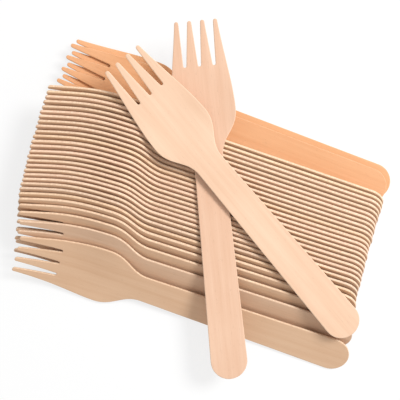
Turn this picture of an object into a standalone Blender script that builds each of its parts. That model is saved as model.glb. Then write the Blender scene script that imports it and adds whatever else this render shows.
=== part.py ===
"""Pack of disposable wooden forks: a leaning row, two forks behind it, two crossed on top.

Metres, +Z up. The table is z = 0, +X runs from the tines to the handle ends of the row,
and +Y runs to the back. Every fork is a node of its own: one punched and pressed blank.
"""
import math
import random

import bmesh
import bpy
from mathutils import Matrix, Vector
from mathutils.bvhtree import BVHTree

MM = 0.001

# Fork blank: distances run from the tine tips to the handle end.
FORK_LENGTH = 160 * MM
THICKNESS = 1.4 * MM
HEAD_WIDTH = 28.4 * MM
SHOULDER_FROM_TIPS = 39.7 * MM
NECK_FROM_TIPS = 60 * MM
NECK_WIDTH = 13.1 * MM
HANDLE_END_WIDTH = 16.5 * MM

# How far each curve's handle reaches along its stretch of the head's long edge.
TINE_SIDE_REACH = 0.35
HEAD_SIDE_REACH = 0.30
SHOULDER_REACH = 0.46
NECK_REACH = 0.42

# Tines, evenly spread at their tips and a little wider apart at the roots between them.
TINE_COUNT = 4
TIP_PITCH = 5.73 * MM
TIP_RADIUS = 0.95 * MM
ROOT_PITCH = 6.54 * MM
ROOT_RADIUS = 0.7 * MM
TINE_LENGTH = 19.6 * MM

# Pressed form: the tines sweep up, and the long edges of the head rise into a shallow dish.
SWEEP_LENGTH = 36 * MM
TIP_RISE = 6.1 * MM
SWEEP_POWER = 1.7
DISH_RISE = 1.0 * MM
DISH_START = 14 * MM
DISH_END = 57 * MM

# Row of forks on their long edges, counted from the front.
ROW_COUNT = 28
ROW_LEAN = math.radians(58)
FAN_LEAN = math.radians(31)
FAN_DECAY = 2.5
BACK_YAW = math.radians(-1.3)
BACK_COUNT = 14
LEAN_SCATTER = math.radians(0.15)
ROW_TIPS_X = -78.8 * MM
ROW_BACK_Y = 29.4 * MM
FRONT_SLIDE = 5.6 * MM
SLIDE_DECAY = 3.2
SLIDE_SCATTER = 0.25 * MM
CLEARANCE = 0.3 * MM

# Two forks lying flat behind the row, the upper one a little nearer to it.
FLAT_TIPS_X = -77.8 * MM
FLAT_YAW = math.radians(-5.4)
FLAT_STEP = Vector((1.5, 2.8, 0)) * MM

# Two crossed forks on top: where their tips are, seen from above, and where they point.
UNDER_TIPS = Vector((-24.5, 75.2, 0)) * MM
UNDER_YAW = math.radians(-67.8)
OVER_TIPS = Vector((-50.2, 48.9, 0)) * MM
OVER_YAW = math.radians(-33.1)
STEEPEST_PITCH = math.radians(10)
BALANCE_FROM_TIPS = 70 * MM

# How finely the forms are drawn.
TIP_STEPS = 3
ROOT_STEPS = 3
SIDE_STEPS = 5
END_STEPS = 7
PRESS_CUTS = 7
PROBE_STEP = 4 * MM
PITCH_TRIES = 10

ROW_COLOUR = (0.82, 0.60, 0.43)
FLAT_COLOUR = (0.76, 0.38, 0.18)
CROSSED_COLOUR = (0.78, 0.53, 0.38)

MERGE = 0.001 * MM
FAR = 1.0
BACKWARD = Vector((0, 1, 0))
DOWNWARD = Vector((0, 0, -1))


def bezier(start, leave, arrive, end, steps):
    """Points of a cubic curve, without its last point."""
    points = []
    for step in range(steps):
        t = step / steps
        s = 1 - t
        points.append(start * s ** 3 + leave * (3 * s * s * t) + arrive * (3 * s * t * t) + end * t ** 3)
    return points


def arc(centre, radius, first, last, steps):
    """Points of an arc between two angles, both ends included."""
    angles = [first + (last - first) * step / steps for step in range(steps + 1)]
    return [centre + Vector((math.cos(a), math.sin(a))) * radius for a in angles]


def half_side():
    """Upper edge of the blank from the outer tine's tip to the handle's end arc."""
    tip = Vector((TIP_RADIUS, TIP_PITCH * (TINE_COUNT - 1) / 2 + TIP_RADIUS))
    shoulder = Vector((SHOULDER_FROM_TIPS, HEAD_WIDTH / 2))
    neck = Vector((NECK_FROM_TIPS, NECK_WIDTH / 2))
    rise = shoulder - tip
    side = bezier(tip, tip + rise * TINE_SIDE_REACH,
                  shoulder - Vector((rise.x * HEAD_SIDE_REACH, 0)), shoulder, SIDE_STEPS)[1:]
    run = neck.x - shoulder.x
    side += bezier(shoulder, shoulder + Vector((run * SHOULDER_REACH, 0)),
                   neck - Vector((run * NECK_REACH, 0)), neck, SIDE_STEPS)
    side.append(neck)
    return side


def tine_end():
    """Tips and roots from the lowest tine to the highest one."""
    points = []
    for tine in range(TINE_COUNT):
        across = TIP_PITCH * (tine - (TINE_COUNT - 1) / 2)
        points += arc(Vector((TIP_RADIUS, across)), TIP_RADIUS, -math.pi / 2, -math.pi * 1.5, TIP_STEPS)
        if tine < TINE_COUNT - 1:
            across = ROOT_PITCH * (tine - (TINE_COUNT - 2) / 2)
            centre = Vector((TINE_LENGTH - ROOT_RADIUS, across))
            points += arc(centre, ROOT_RADIUS, -math.pi / 2, math.pi / 2, ROOT_STEPS)
    return points


def blank_outline():
    """Closed outline of the punched blank, clockwise from the lowest tine."""
    radius = HANDLE_END_WIDTH / 2
    centre = Vector((FORK_LENGTH - radius, 0))
    upper = half_side()
    lower = [Vector((p.x, -p.y)) for p in reversed(upper)]
    return tine_end() + upper + arc(centre, radius, math.pi / 2, -math.pi / 2, END_STEPS) + lower


def press(point):
    """Lift of the pressed form at a point of the blank."""
    lift = 0.0
    if point.x < SWEEP_LENGTH:
        lift += TIP_RISE * ((SWEEP_LENGTH - point.x) / SWEEP_LENGTH) ** SWEEP_POWER
    if DISH_START < point.x < DISH_END:
        along = math.sin(math.pi * (point.x - DISH_START) / (DISH_END - DISH_START)) ** 2
        lift += DISH_RISE * along * (2 * point.y / HEAD_WIDTH) ** 2
    return lift


def cut(bm, place, normal, reach):
    """Cut along a plane, only through faces nearer to the tips than reach."""
    faces = [f for f in bm.faces if f.calc_center_median().x < reach]
    geom = faces + list({e for f in faces for e in f.edges}) + list({v for f in faces for v in f.verts})
    bmesh.ops.bisect_plane(bm, geom=geom, plane_co=place, plane_no=normal, dist=MERGE)


def fork_mesh():
    """One fork: the outline filled and given its thickness, then cut into strips and pressed."""
    curve = bpy.data.curves.new("fork_blank", "CURVE")
    curve.dimensions = "2D"
    curve.fill_mode = "BOTH"
    curve.extrude = THICKNESS / 2
    outline = blank_outline()
    spline = curve.splines.new("POLY")
    spline.points.add(len(outline) - 1)
    for knot, point in zip(spline.points, outline):
        knot.co = (point.x, point.y, 0, 1)
    spline.use_cyclic_u = True
    blank = bpy.data.objects.new("fork_blank", curve)
    bpy.context.scene.collection.objects.link(blank)
    bpy.context.view_layer.update()
    mesh = bpy.data.meshes.new_from_object(blank)
    bpy.data.objects.remove(blank)
    bpy.data.curves.remove(curve)

    bm = bmesh.new()
    bm.from_mesh(mesh)
    bmesh.ops.remove_doubles(bm, verts=bm.verts, dist=MERGE)
    bmesh.ops.dissolve_limit(bm, angle_limit=math.radians(1), verts=bm.verts, edges=bm.edges)
    for station in range(1, PRESS_CUTS + 1):
        cut(bm, (DISH_END * station / PRESS_CUTS, 0, 0), (1, 0, 0), FORK_LENGTH)
    for strip in (-1, 0, 1):
        cut(bm, (0, strip * HEAD_WIDTH / 4, 0), (0, 1, 0), DISH_END)
    bmesh.ops.triangulate(bm, faces=bm.faces)
    for vert in bm.verts:
        vert.co.z += press(vert.co)
    bmesh.ops.recalc_face_normals(bm, faces=bm.faces)
    bm.to_mesh(mesh)
    bm.free()
    mesh.name = "fork"
    return mesh


def wood(name, colour):
    """Plain birch material for one fork."""
    material = bpy.data.materials.new(name)
    material.use_nodes = True
    shader = material.node_tree.nodes["Principled BSDF"]
    shader.inputs["Base Color"].default_value = (*colour, 1)
    shader.inputs["Roughness"].default_value = 0.62
    shader.inputs["Metallic"].default_value = 0
    return material


def add_fork(name, mesh, turn, colour, pack):
    """A fork node turned in place, its lowest point on the table."""
    own = mesh.copy()
    own.name = name
    fork = bpy.data.objects.new(name, own)
    fork.data.materials.append(wood(name + "_birch", colour))
    fork.matrix_world = turn
    fork.location.z -= min((turn @ v.co).z for v in own.vertices)
    pack.objects.link(fork)
    bpy.context.view_layer.update()
    return fork


def probes(fork):
    """Corners of a fork and points along its edges, in the world."""
    place = fork.matrix_world
    corners = [place @ v.co for v in fork.data.vertices]
    points = list(corners)
    for edge in fork.data.edges:
        a, b = (corners[i] for i in edge.vertices)
        count = int((b - a).length / PROBE_STEP)
        points += [a.lerp(b, step / (count + 1)) for step in range(1, count + 1)]
    return points


def tree(fork):
    """Search tree of a fork's faces, in the world."""
    place = fork.matrix_world
    corners = [place @ v.co for v in fork.data.vertices]
    return BVHTree.FromPolygons(corners, [tuple(p.vertices) for p in fork.data.polygons])


def raise_clear(fork):
    """Lift a fork well above everything else."""
    fork.location.z += FORK_LENGTH
    bpy.context.view_layer.update()


def first_touch(fork, others, way):
    """How far a fork can move along way before it meets one of the others, and where."""
    travel, place = FAR, None
    own = tree(fork)
    points = probes(fork)
    for other in others:
        target = tree(other)
        casts = [(target, point, way) for point in points]
        casts += [(own, point, -way) for point in probes(other)]
        for surface, point, direction in casts:
            distance = surface.ray_cast(point, direction)[3]
            if distance is not None and distance < travel:
                travel, place = distance, point
    return travel, place


def slide_up_to(forks, others, way, gap):
    """Move forks together along way until the first of them is only the gap away."""
    travel = min(first_touch(fork, others, way)[0] for fork in forks) - gap
    for fork in forks:
        fork.location += way * travel
    bpy.context.view_layer.update()


def edge_seat():
    """In-plane turn that puts the shoulder and the handle end on one line."""
    run = FORK_LENGTH - HANDLE_END_WIDTH / 2 - SHOULDER_FROM_TIPS
    return math.atan2((HEAD_WIDTH - HANDLE_END_WIDTH) / 2, run)


def lean_of(place):
    """Lean from the table of a fork of the row, counted from the front."""
    return ROW_LEAN - FAN_LEAN * math.exp(-place / FAN_DECAY)


def yaw_of(place):
    """Turn about +Z of a fork of the row: the last ones spread their heads to the back."""
    return BACK_YAW * max(0, place - (ROW_COUNT - 1 - BACK_COUNT)) / BACK_COUNT


def row_forks(mesh, pack):
    """The row, set from the back to the front, each fork against the one behind it."""
    chance = random.Random(5)
    forks = []
    for place in reversed(range(ROW_COUNT)):
        lean = lean_of(place) + chance.uniform(-LEAN_SCATTER, LEAN_SCATTER)
        slide = FRONT_SLIDE * math.exp(-place / SLIDE_DECAY) + chance.uniform(-SLIDE_SCATTER, SLIDE_SCATTER)
        start = ROW_BACK_Y - (FORK_LENGTH if forks else 0)
        turn = (Matrix.Translation((ROW_TIPS_X + slide, start, 0)) @ Matrix.Rotation(yaw_of(place), 4, "Z")
                @ Matrix.Rotation(lean, 4, "X") @ Matrix.Rotation(-edge_seat(), 4, "Z"))
        fork = add_fork("row_fork_%02d" % (place + 1), mesh, turn, ROW_COLOUR, pack)
        if forks:
            slide_up_to([fork], forks[-1:], BACKWARD, CLEARANCE / math.sin(lean_of(place + 1)))
        forks.append(fork)
    return forks


def flat_forks(mesh, pack, row):
    """The two forks behind the row: one on the table, one on it that meets the row's last fork."""
    turn = Matrix.Translation((FLAT_TIPS_X, ROW_BACK_Y + FORK_LENGTH, 0)) @ Matrix.Rotation(FLAT_YAW, 4, "Z")
    lower = add_fork("flat_fork_lower", mesh, Matrix.Translation(FLAT_STEP) @ turn, FLAT_COLOUR, pack)
    upper = add_fork("flat_fork_upper", mesh, turn, FLAT_COLOUR, pack)
    raise_clear(upper)
    slide_up_to([upper], [lower], DOWNWARD, CLEARANCE)
    slide_up_to([upper, lower], row[:1], -BACKWARD, CLEARANCE / math.sin(ROW_LEAN))


def row_top_slope():
    """Fall towards +X of the handles' upper edges in the row."""
    run = FORK_LENGTH - HANDLE_END_WIDTH / 2 - NECK_FROM_TIPS
    taper = math.atan2((HANDLE_END_WIDTH - NECK_WIDTH) / 2, run)
    return math.asin(math.sin(edge_seat() - taper) * math.sin(ROW_LEAN))


def crossed_forks(mesh, pack, row):
    """The two crossed forks: the under one along the row's top, the over one tilted down to it.

    The over fork's pitch is found by halving: it touches on both sides of its balance point.
    """
    on_row = Matrix.Rotation(row_top_slope(), 4, "Y")
    turn = Matrix.Translation(UNDER_TIPS) @ on_row @ Matrix.Rotation(UNDER_YAW, 4, "Z")
    under = add_fork("crossed_fork_under", mesh, turn, CROSSED_COLOUR, pack)
    raise_clear(under)
    slide_up_to([under], row, DOWNWARD, CLEARANCE)

    turn = Matrix.Translation(OVER_TIPS) @ on_row @ Matrix.Rotation(OVER_YAW, 4, "Z")
    over = add_fork("crossed_fork_over", mesh, turn, CROSSED_COLOUR, pack)
    raise_clear(over)
    carriers = row + [under]
    shallow, steep = 0.0, STEEPEST_PITCH
    for _ in range(PITCH_TRIES):
        pitch = (shallow + steep) / 2
        over.rotation_euler = (turn @ Matrix.Rotation(pitch, 4, "Y")).to_euler()
        bpy.context.view_layer.update()
        touch = over.matrix_world.inverted() @ first_touch(over, carriers, DOWNWARD)[1]
        if touch.x < BALANCE_FROM_TIPS:
            shallow = pitch
        else:
            steep = pitch
    slide_up_to([over], carriers, DOWNWARD, CLEARANCE)


def centre(pack):
    """Move the pack so that its box stands on the origin."""
    corners = [fork.matrix_world @ v.co for fork in pack.objects for v in fork.data.vertices]
    low = [min(c[axis] for c in corners) for axis in range(3)]
    high = [max(c[axis] for c in corners) for axis in range(3)]
    shift = Vector(((low[0] + high[0]) / 2, (low[1] + high[1]) / 2, low[2]))
    for fork in pack.objects:
        fork.location -= shift


def build():
    for old in list(bpy.data.objects):
        bpy.data.objects.remove(old)
    pack = bpy.data.collections.new("wooden_cutlery_pack")
    bpy.context.scene.collection.children.link(pack)
    mesh = fork_mesh()
    row = row_forks(mesh, pack)
    flat_forks(mesh, pack, row)
    crossed_forks(mesh, pack, row)
    centre(pack)


build()
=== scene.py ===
"""Wooden cutlery pack, dressed: each fork gets rounded rims, a small warp of its own and birch.

The frame says where every fork lies. One fine blank is drawn from the fork's measures, pressed
anew for each fork and set where its node is. Metres, +Z up, in the frame's own coordinates.
"""
import math
import random

import bmesh
import bpy
import numpy as np
from mathutils import Matrix, Vector


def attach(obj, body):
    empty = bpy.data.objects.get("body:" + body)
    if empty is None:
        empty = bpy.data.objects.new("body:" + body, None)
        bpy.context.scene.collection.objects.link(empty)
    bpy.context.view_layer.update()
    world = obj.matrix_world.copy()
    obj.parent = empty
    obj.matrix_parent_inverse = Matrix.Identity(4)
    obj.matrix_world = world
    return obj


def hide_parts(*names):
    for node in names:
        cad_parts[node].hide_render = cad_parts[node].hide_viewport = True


MM = 0.001

# Fork blank, as in the frame: distances run from the tine tips to the handle end.
FORK_LENGTH = 160 * MM
THICKNESS = 1.4 * MM
HEAD_WIDTH = 28.4 * MM
SHOULDER_FROM_TIPS = 39.7 * MM
NECK_FROM_TIPS = 60 * MM
NECK_WIDTH = 13.1 * MM
HANDLE_END_WIDTH = 16.5 * MM
TINE_SIDE_REACH = 0.35
HEAD_SIDE_REACH = 0.30
SHOULDER_REACH = 0.46
NECK_REACH = 0.42
TINE_COUNT = 4
TIP_PITCH = 5.73 * MM
TIP_RADIUS = 0.95 * MM
ROOT_PITCH = 6.54 * MM
ROOT_RADIUS = 0.7 * MM
TINE_LENGTH = 19.6 * MM

# Pressed form.
SWEEP_LENGTH = 36 * MM
TIP_RISE = 6.1 * MM
SWEEP_POWER = 1.7
DISH_RISE = 1.0 * MM
DISH_START = 14 * MM
DISH_END = 57 * MM

# Fineness of the blank, and its tumbled rims.
ROUNDING = 0.34 * MM
ROUNDING_STEPS = 2
TIP_STEPS = 8
ROOT_STEPS = 8
SIDE_STEPS = 20
END_STEPS = 24
HEAD_CUT = 1.9 * MM
HANDLE_CUT = 6 * MM
STRIP = 2.4 * MM
MERGE = 0.001 * MM

# How much one fork differs from the next; the gaps between them are 0.3 mm.
SEED = 11
THINNEST = 0.86
DISH_SCATTER = 0.11 * MM
RISE_SCATTER = 0.10 * MM
BOW = 0.05 * MM

# Camera: straight above, turned so that the row falls to the right.
CAMERA_AT = Vector((-3.48, -2.53, 386)) * MM
CAMERA_TURN = math.radians(16.45)
PICTURE_WIDTH = 400 / 2.131 * MM
SENSOR = 36.0

# Light: a plain level, a little more of it from the back right.
SKY_LEVEL = 0.62
KEY_AT = Vector((0.42, 0.40, 0.75))
KEY_SIZE = 0.32
KEY_POWER = 7.5
FLOOR_RADIUS = 3.0
FLOOR_WHITENESS = 0.86
FLOOR_SHADOW = 0.25

# Birch, as seen colours with light and shade painted in: each family's pressed faces run darker and lighter;
# the row's faces are darkened by painted shade, the crossed forks' faces lightened by painted light, the flat
# forks' faces darker and more orange; the rims are pale cut fibre with a painted highlight.
# Row faces: birch with painted shade, darker than the crossed forks' faces.
ROW_FACES_WITH_PAINTED_SHADE = ((0.60, 0.365, 0.225), (0.70, 0.47, 0.315))
# Rims: pale cut fibre with a painted highlight laid on top.
ROW_RIMS_PALE_WITH_PAINTED_HIGHLIGHT = ((0.70, 0.47, 0.33), (0.90, 0.71, 0.53))
FLAT_FACES = ((0.66, 0.31, 0.13), (0.75, 0.41, 0.21))
FLAT_RIMS_PALE_WITH_PAINTED_HIGHLIGHT = ((0.80, 0.52, 0.32), (0.93, 0.72, 0.50))
# Crossed faces: birch with painted light, lighter than the row's faces.
CROSSED_FACES_WITH_PAINTED_LIGHT = ((0.70, 0.44, 0.29), (0.80, 0.56, 0.40))
CROSSED_RIMS_PALE_WITH_PAINTED_HIGHLIGHT = ((0.84, 0.62, 0.44), (0.96, 0.82, 0.64))
TINTS = ((1.0, 0.985, 0.95), (1.0, 0.96, 0.95), (0.97, 0.97, 0.97), (1.0, 0.97, 0.90), (1.03, 1.0, 0.97))


def bezier(start, leave, arrive, end, steps):
    """Points of a cubic curve, without its last point."""
    points = []
    for step in range(steps):
        t = step / steps
        s = 1 - t
        points.append(start * s ** 3 + leave * (3 * s * s * t) + arrive * (3 * s * t * t) + end * t ** 3)
    return points


def arc(centre, radius, first, last, steps):
    """Points of an arc between two angles, both ends included."""
    angles = [first + (last - first) * step / steps for step in range(steps + 1)]
    return [centre + Vector((math.cos(a), math.sin(a))) * radius for a in angles]


def half_side():
    """Upper edge of the blank from the outer tine's tip to the handle's end arc."""
    tip = Vector((TIP_RADIUS, TIP_PITCH * (TINE_COUNT - 1) / 2 + TIP_RADIUS))
    shoulder = Vector((SHOULDER_FROM_TIPS, HEAD_WIDTH / 2))
    neck = Vector((NECK_FROM_TIPS, NECK_WIDTH / 2))
    rise = shoulder - tip
    side = bezier(tip, tip + rise * TINE_SIDE_REACH,
                  shoulder - Vector((rise.x * HEAD_SIDE_REACH, 0)), shoulder, SIDE_STEPS)[1:]
    run = neck.x - shoulder.x
    side += bezier(shoulder, shoulder + Vector((run * SHOULDER_REACH, 0)),
                   neck - Vector((run * NECK_REACH, 0)), neck, SIDE_STEPS)
    side.append(neck)
    return side


def tine_end():
    """Tips and roots from the lowest tine to the highest one."""
    points = []
    for tine in range(TINE_COUNT):
        across = TIP_PITCH * (tine - (TINE_COUNT - 1) / 2)
        points += arc(Vector((TIP_RADIUS, across)), TIP_RADIUS, -math.pi / 2, -math.pi * 1.5, TIP_STEPS)
        if tine < TINE_COUNT - 1:
            across = ROOT_PITCH * (tine - (TINE_COUNT - 2) / 2)
            centre = Vector((TINE_LENGTH - ROOT_RADIUS, across))
            points += arc(centre, ROOT_RADIUS, -math.pi / 2, math.pi / 2, ROOT_STEPS)
    return points


def blank_outline():
    """Closed outline of the punched blank, clockwise from the lowest tine."""
    radius = HANDLE_END_WIDTH / 2
    centre = Vector((FORK_LENGTH - radius, 0))
    upper = half_side()
    lower = [Vector((p.x, -p.y)) for p in reversed(upper)]
    return tine_end() + upper + arc(centre, radius, math.pi / 2, -math.pi / 2, END_STEPS) + lower


def cut(bm, place, normal):
    """Cut the whole blank along a plane."""
    geom = list(bm.faces) + list(bm.edges) + list(bm.verts)
    bmesh.ops.bisect_plane(bm, geom=geom, plane_co=place, plane_no=normal, dist=MERGE)


def fine_blank():
    """The flat blank with rounded rims, cut finely enough to be pressed."""
    curve = bpy.data.curves.new("blank", "CURVE")
    curve.dimensions = "2D"
    curve.fill_mode = "BOTH"
    curve.extrude = THICKNESS / 2 - ROUNDING
    curve.bevel_depth = ROUNDING
    curve.bevel_resolution = ROUNDING_STEPS
    curve.offset = -ROUNDING
    outline = blank_outline()
    spline = curve.splines.new("POLY")
    spline.points.add(len(outline) - 1)
    for knot, point in zip(spline.points, outline):
        knot.co = (point.x, point.y, 0, 1)
    spline.use_cyclic_u = True
    holder = bpy.data.objects.new("blank", curve)
    bpy.context.scene.collection.objects.link(holder)
    bpy.context.view_layer.update()
    mesh = bpy.data.meshes.new_from_object(holder)
    bpy.data.objects.remove(holder)
    bpy.data.curves.remove(curve)

    bm = bmesh.new()
    bm.from_mesh(mesh)
    bmesh.ops.remove_doubles(bm, verts=bm.verts, dist=MERGE)
    caps = [f for f in bm.faces if abs(f.normal.z) > 0.999]
    bmesh.ops.dissolve_faces(bm, faces=[f for f in caps if f.normal.z > 0])
    bmesh.ops.dissolve_faces(bm, faces=[f for f in bm.faces if f.normal.z < -0.999])
    stations = list(np.arange(HEAD_CUT, DISH_END + HEAD_CUT, HEAD_CUT))
    stations += list(np.arange(stations[-1] + HANDLE_CUT, FORK_LENGTH, HANDLE_CUT))
    for station in stations:
        cut(bm, (station, 0, 0), (1, 0, 0))
    strips = int(HEAD_WIDTH / 2 / STRIP)
    for strip in range(-strips, strips + 1):
        cut(bm, (0, strip * STRIP, 0), (0, 1, 0))
    bmesh.ops.triangulate(bm, faces=bm.faces)
    bmesh.ops.recalc_face_normals(bm, faces=bm.faces)
    bm.to_mesh(mesh)
    bm.free()
    return mesh


def blank_points(mesh):
    """Corners of a mesh as rows of x, y, z."""
    points = np.empty(len(mesh.vertices) * 3)
    mesh.vertices.foreach_get("co", points)
    return points.reshape(-1, 3)


def mark(mesh, points):
    """Store each corner's place on the flat blank, and how far round the rim it lies, from 0 to 1."""
    mesh.attributes.new("blank", "FLOAT_VECTOR", "POINT").data.foreach_set("vector", points.ravel())
    depth = (THICKNESS / 2 - np.abs(points[:, 2])) / ROUNDING
    mesh.attributes.new("rim", "FLOAT", "POINT").data.foreach_set("value", np.clip(depth, 0, 1))


def pressed(points, rise, dish, thinness, bow):
    """The blank's corners, pressed: tines swept up, head dished, handle bowed a little."""
    x, y, z = points.T
    sweep = np.clip((SWEEP_LENGTH - x) / SWEEP_LENGTH, 0, None)
    lift = (TIP_RISE + rise) * sweep ** SWEEP_POWER
    along = np.clip((x - DISH_START) / (DISH_END - DISH_START), 0, 1)
    lift += (DISH_RISE + dish) * np.sin(np.pi * along) ** 2 * (2 * y / HEAD_WIDTH) ** 2
    lift += bow * np.sin(np.pi * x / FORK_LENGTH)
    return np.column_stack((x, y, z * thinness + lift))


def principal_frame(points):
    """Middle and axes of a fork's corners: along it, across it and out of its face."""
    middle = points.mean(axis=0)
    spread = points - middle
    along, across, out = np.linalg.svd(spread, full_matrices=False)[2]
    along = along * np.sign(((spread @ along) ** 3).sum())
    out = out * np.sign(((spread @ out) ** 3).sum())
    return middle, np.column_stack((along, np.cross(out, along), out))


def flat_frame(points):
    """Origin and axes of the fork that lies flat: its blank's own frame in the world."""
    axes = principal_frame(points)[1]
    up = np.array((0, 0, 1.0))
    across = np.cross(up, axes[:, 0])
    across /= np.linalg.norm(across)
    own = np.column_stack((np.cross(across, up), across, up))
    reach = points @ own
    low, high = reach.min(axis=0), reach.max(axis=0)
    origin = own @ np.array((low[0], (low[1] + high[1]) / 2, low[2] + THICKNESS / 2))
    return origin, own


def places(frame):
    """Matrix of every fork node, from the blank's own frame to the world."""
    corners = {name: blank_points(node.data) for name, node in frame["nodes"].items()}
    middle, axes = principal_frame(corners["flat_fork_lower"])
    origin, own = flat_frame(corners["flat_fork_lower"])
    found = {}
    for name, points in corners.items():
        its_middle, its_axes = principal_frame(points)
        turn = its_axes @ axes.T
        place = np.eye(4)
        place[:3, :3] = turn @ own
        place[:3, 3] = its_middle + turn @ (origin - middle)
        found[name] = Matrix(place.tolist())
    return found


class Nodes:
    """Short calls to fill a material's node tree."""

    def __init__(self, tree):
        self.tree = tree

    def add(self, kind, values=None, **settings):
        node = self.tree.nodes.new(kind)
        for name, value in settings.items():
            setattr(node, name, value)
        for socket, value in (values or {}).items():
            if isinstance(value, bpy.types.NodeSocket):
                self.tree.links.new(value, node.inputs[socket])
            else:
                node.inputs[socket].default_value = value
        return node

    def noise(self, place, scales, detail=2.0):
        """Noise from 0 to 1 with its own scale, in features per metre, along each axis."""
        stretched = self.add("ShaderNodeVectorMath", {0: place, 1: scales}, operation="MULTIPLY")
        return self.add("ShaderNodeTexNoise", {"Vector": stretched.outputs[0], "Scale": 1.0,
                                               "Detail": detail}).outputs["Fac"]

    def remap(self, value, low, high, to_low=0.0, to_high=1.0):
        return self.add("ShaderNodeMapRange", {"Value": value, "From Min": low, "From Max": high,
                                               "To Min": to_low, "To Max": to_high}).outputs[0]

    def math(self, operation, first, second):
        return self.add("ShaderNodeMath", {0: first, 1: second}, operation=operation).outputs[0]

    def mix(self, share, first, second, blend="MIX"):
        node = self.add("ShaderNodeMix", data_type="RGBA", blend_type=blend)
        for socket, value in ((node.inputs[0], share), (node.inputs[6], first), (node.inputs[7], second)):
            if isinstance(value, bpy.types.NodeSocket):
                self.tree.links.new(value, socket)
            else:
                socket.default_value = value if isinstance(value, float) else (*value, 1)
        return node.outputs[2]


def birch(name, faces, rims):
    """Pressed birch veneer: long grain on the faces, fine cut marks across the rims, which are pale cut fibre
    with a painted highlight.
    """
    material = bpy.data.materials.new(name)
    material.use_nodes = True
    shader = material.node_tree.nodes["Principled BSDF"]
    make = Nodes(material.node_tree)
    own = make.add("ShaderNodeObjectInfo")
    spread = make.add("ShaderNodeVectorMath", {0: own.outputs["Random"], 1: (0.7, 0.3, 0.9)},
                      operation="MULTIPLY").outputs[0]
    place = make.add("ShaderNodeVectorMath", {0: make.add("ShaderNodeAttribute",
                                                       attribute_name="blank").outputs["Vector"],
                                              1: spread}, operation="ADD").outputs[0]
    bands = make.noise(place, (14, 420, 420), 3.0)
    fibres = make.noise(place, (70, 2600, 2600), 3.0)
    patches = make.noise(place, (34, 55, 55), 2.0)
    flecks = make.remap(make.noise(place, (420, 4200, 4200), 1.0), 0.68, 0.78)
    grain = make.math("ADD", make.remap(bands, 0.3, 0.7, 0.0, 0.45), make.remap(fibres, 0.3, 0.7, 0.0, 0.25))
    grain = make.math("ADD", grain, make.remap(patches, 0.3, 0.7, 0.0, 0.30))
    face = make.mix(grain, *faces)
    face = make.mix(make.math("MULTIPLY", flecks, 0.35), face, tuple(c * 0.55 for c in faces[0]))

    marks = make.noise(place, (1500, 260, 700), 2.0)
    plies = make.noise(place, (60, 500, 3200), 2.0)
    cut_tone = make.math("ADD", make.remap(marks, 0.35, 0.65, 0.0, 0.6), make.remap(plies, 0.3, 0.7, 0.0, 0.4))
    rim = make.mix(cut_tone, *rims)
    share = make.add("ShaderNodeAttribute", attribute_name="rim").outputs["Fac"]
    # The rim colour, pale cut fibre with a painted highlight, is mixed in by how far round the rim each corner
    # lies.
    colour = make.mix(make.remap(share, 0.05, 0.8), face, rim)
    colour = make.mix(1.0, colour, own.outputs["Color"], "MULTIPLY")
    make.tree.links.new(colour, shader.inputs["Base Color"])

    rough = make.math("ADD", make.remap(fibres, 0.2, 0.8, 0.50, 0.66), make.math("MULTIPLY", share, 0.12))
    make.tree.links.new(rough, shader.inputs["Roughness"])
    height = make.math("ADD", fibres, make.math("MULTIPLY", bands, 0.7))
    height = make.math("SUBTRACT", height, flecks)
    bump = make.add("ShaderNodeBump", {"Height": height, "Strength": 0.35, "Distance": 0.00006})
    make.tree.links.new(bump.outputs["Normal"], shader.inputs["Normal"])
    return material


def slot_of(name):
    """Material family of a node, read from its name."""
    return {"row": "row_birch", "flat": "flat_birch", "crossed": "crossed_birch"}[name.split("_")[0]]


def dress(frame):
    """A fine fork on every node."""
    chance = random.Random(SEED)
    blank = fine_blank()
    points = blank_points(blank)
    mark(blank, points)
    # The row's material carries painted shade and the crossed forks' material carries painted light.
    finishes = {"row_birch": birch("row_birch", ROW_FACES_WITH_PAINTED_SHADE, ROW_RIMS_PALE_WITH_PAINTED_HIGHLIGHT),
                "flat_birch": birch("flat_birch", FLAT_FACES, FLAT_RIMS_PALE_WITH_PAINTED_HIGHLIGHT),
                "crossed_birch": birch("crossed_birch", CROSSED_FACES_WITH_PAINTED_LIGHT, CROSSED_RIMS_PALE_WITH_PAINTED_HIGHLIGHT)}
    for name, place in sorted(places(frame).items()):
        mesh = blank.copy()
        mesh.name = name + "_dressed"
        shape = pressed(points, chance.uniform(-RISE_SCATTER, RISE_SCATTER),
                        chance.uniform(-DISH_SCATTER, DISH_SCATTER),
                        chance.uniform(THINNEST, 1), chance.uniform(-BOW, BOW))
        mesh.vertices.foreach_set("co", shape.ravel())
        mesh.transform(place)
        mesh.update()
        mesh.shade_smooth()
        mesh.materials.append(finishes[slot_of(name)])
        piece = bpy.data.objects.new(name + "_dressed", mesh)
        tint = chance.choice(TINTS)
        level = chance.uniform(0.95, 1.03)
        piece.color = (*(min(1.0, c * level) for c in tint), 1)
        bpy.context.scene.collection.objects.link(piece)
        piece.modifiers.new("even_normals", "WEIGHTED_NORMAL")
        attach(piece, "root")
        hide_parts(name)


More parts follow.
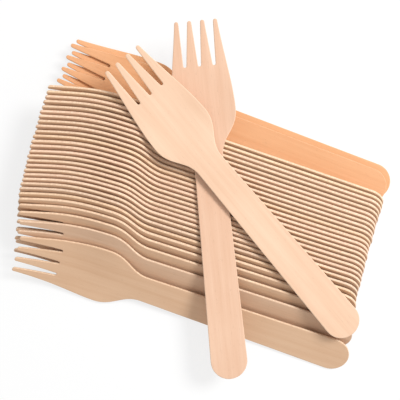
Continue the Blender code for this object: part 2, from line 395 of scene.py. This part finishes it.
def floor():
    """Plain white floor: the camera sees it nearly white, with what is left of the shadow."""
    mesh = bpy.data.meshes.new("floor")
    bm = bmesh.new()
    bmesh.ops.create_circle(bm, cap_ends=True, radius=FLOOR_RADIUS, segments=64)
    bm.to_mesh(mesh)
    bm.free()
    material = bpy.data.materials.new("floor_white")
    material.use_nodes = True
    make = Nodes(material.node_tree)
    material.node_tree.nodes.remove(material.node_tree.nodes["Principled BSDF"])
    path = make.add("ShaderNodeLightPath")
    seen = make.math("MAXIMUM", path.outputs["Is Camera Ray"], path.outputs["Is Glossy Ray"])
    seen = make.math("MAXIMUM", seen, path.outputs["Is Transmission Ray"])
    matt = make.add("ShaderNodeBsdfDiffuse", {"Color": (*(FLOOR_WHITENESS,) * 3, 1)}).outputs[0]
    glow = make.add("ShaderNodeEmission", {"Color": (1, 1, 1, 1), "Strength": 1.0}).outputs[0]
    share = make.math("MULTIPLY", seen, 1 - FLOOR_SHADOW)
    blend = make.add("ShaderNodeMixShader", {0: share, 1: matt, 2: glow})
    out = material.node_tree.nodes["Material Output"]
    make.tree.links.new(blend.outputs[0], out.inputs["Surface"])
    mesh.materials.append(material)
    ground = bpy.data.objects.new("floor", mesh)
    bpy.context.scene.collection.objects.link(ground)


def light():
    """Even white sky, seen as white, and one soft lamp from the back right."""
    world = bpy.data.worlds.new("studio")
    bpy.context.scene.world = world
    world.use_nodes = True
    make = Nodes(world.node_tree)
    sky = world.node_tree.nodes["Background"]
    path = make.add("ShaderNodeLightPath")
    seen = make.math("MAXIMUM", path.outputs["Is Camera Ray"], path.outputs["Is Glossy Ray"])
    seen = make.math("MAXIMUM", seen, path.outputs["Is Transmission Ray"])
    sky.inputs["Color"].default_value = (1, 1, 1, 1)
    level = make.remap(seen, 0.0, 1.0, SKY_LEVEL, 1.0)
    make.tree.links.new(level, sky.inputs["Strength"])

    lamp = bpy.data.lights.new("key", "AREA")
    lamp.shape = "DISK"
    lamp.size = KEY_SIZE
    lamp.energy = KEY_POWER
    key = bpy.data.objects.new("key", lamp)
    key.location = KEY_AT
    key.rotation_euler = (-KEY_AT).to_track_quat("-Z", "Y").to_euler()
    bpy.context.scene.collection.objects.link(key)


def camera():
    """Camera straight above the pack."""
    lens = bpy.data.cameras.new("camera")
    lens.sensor_width = SENSOR
    lens.lens = SENSOR * CAMERA_AT.z / PICTURE_WIDTH
    lens.clip_start = 0.01
    eye = bpy.data.objects.new("camera", lens)
    eye.location = CAMERA_AT
    eye.rotation_euler = (0, 0, CAMERA_TURN)
    bpy.context.scene.collection.objects.link(eye)
    bpy.context.scene.camera = eye


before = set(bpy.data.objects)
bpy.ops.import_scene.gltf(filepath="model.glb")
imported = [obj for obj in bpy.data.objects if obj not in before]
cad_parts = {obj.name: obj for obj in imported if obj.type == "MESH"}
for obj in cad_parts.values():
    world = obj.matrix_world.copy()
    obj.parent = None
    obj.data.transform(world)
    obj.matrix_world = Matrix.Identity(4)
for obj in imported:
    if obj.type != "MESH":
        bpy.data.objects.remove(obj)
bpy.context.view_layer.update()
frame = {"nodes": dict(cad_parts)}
camera()
light()
floor()
dress(frame)
bpy.context.scene.view_settings.view_transform = "Standard"
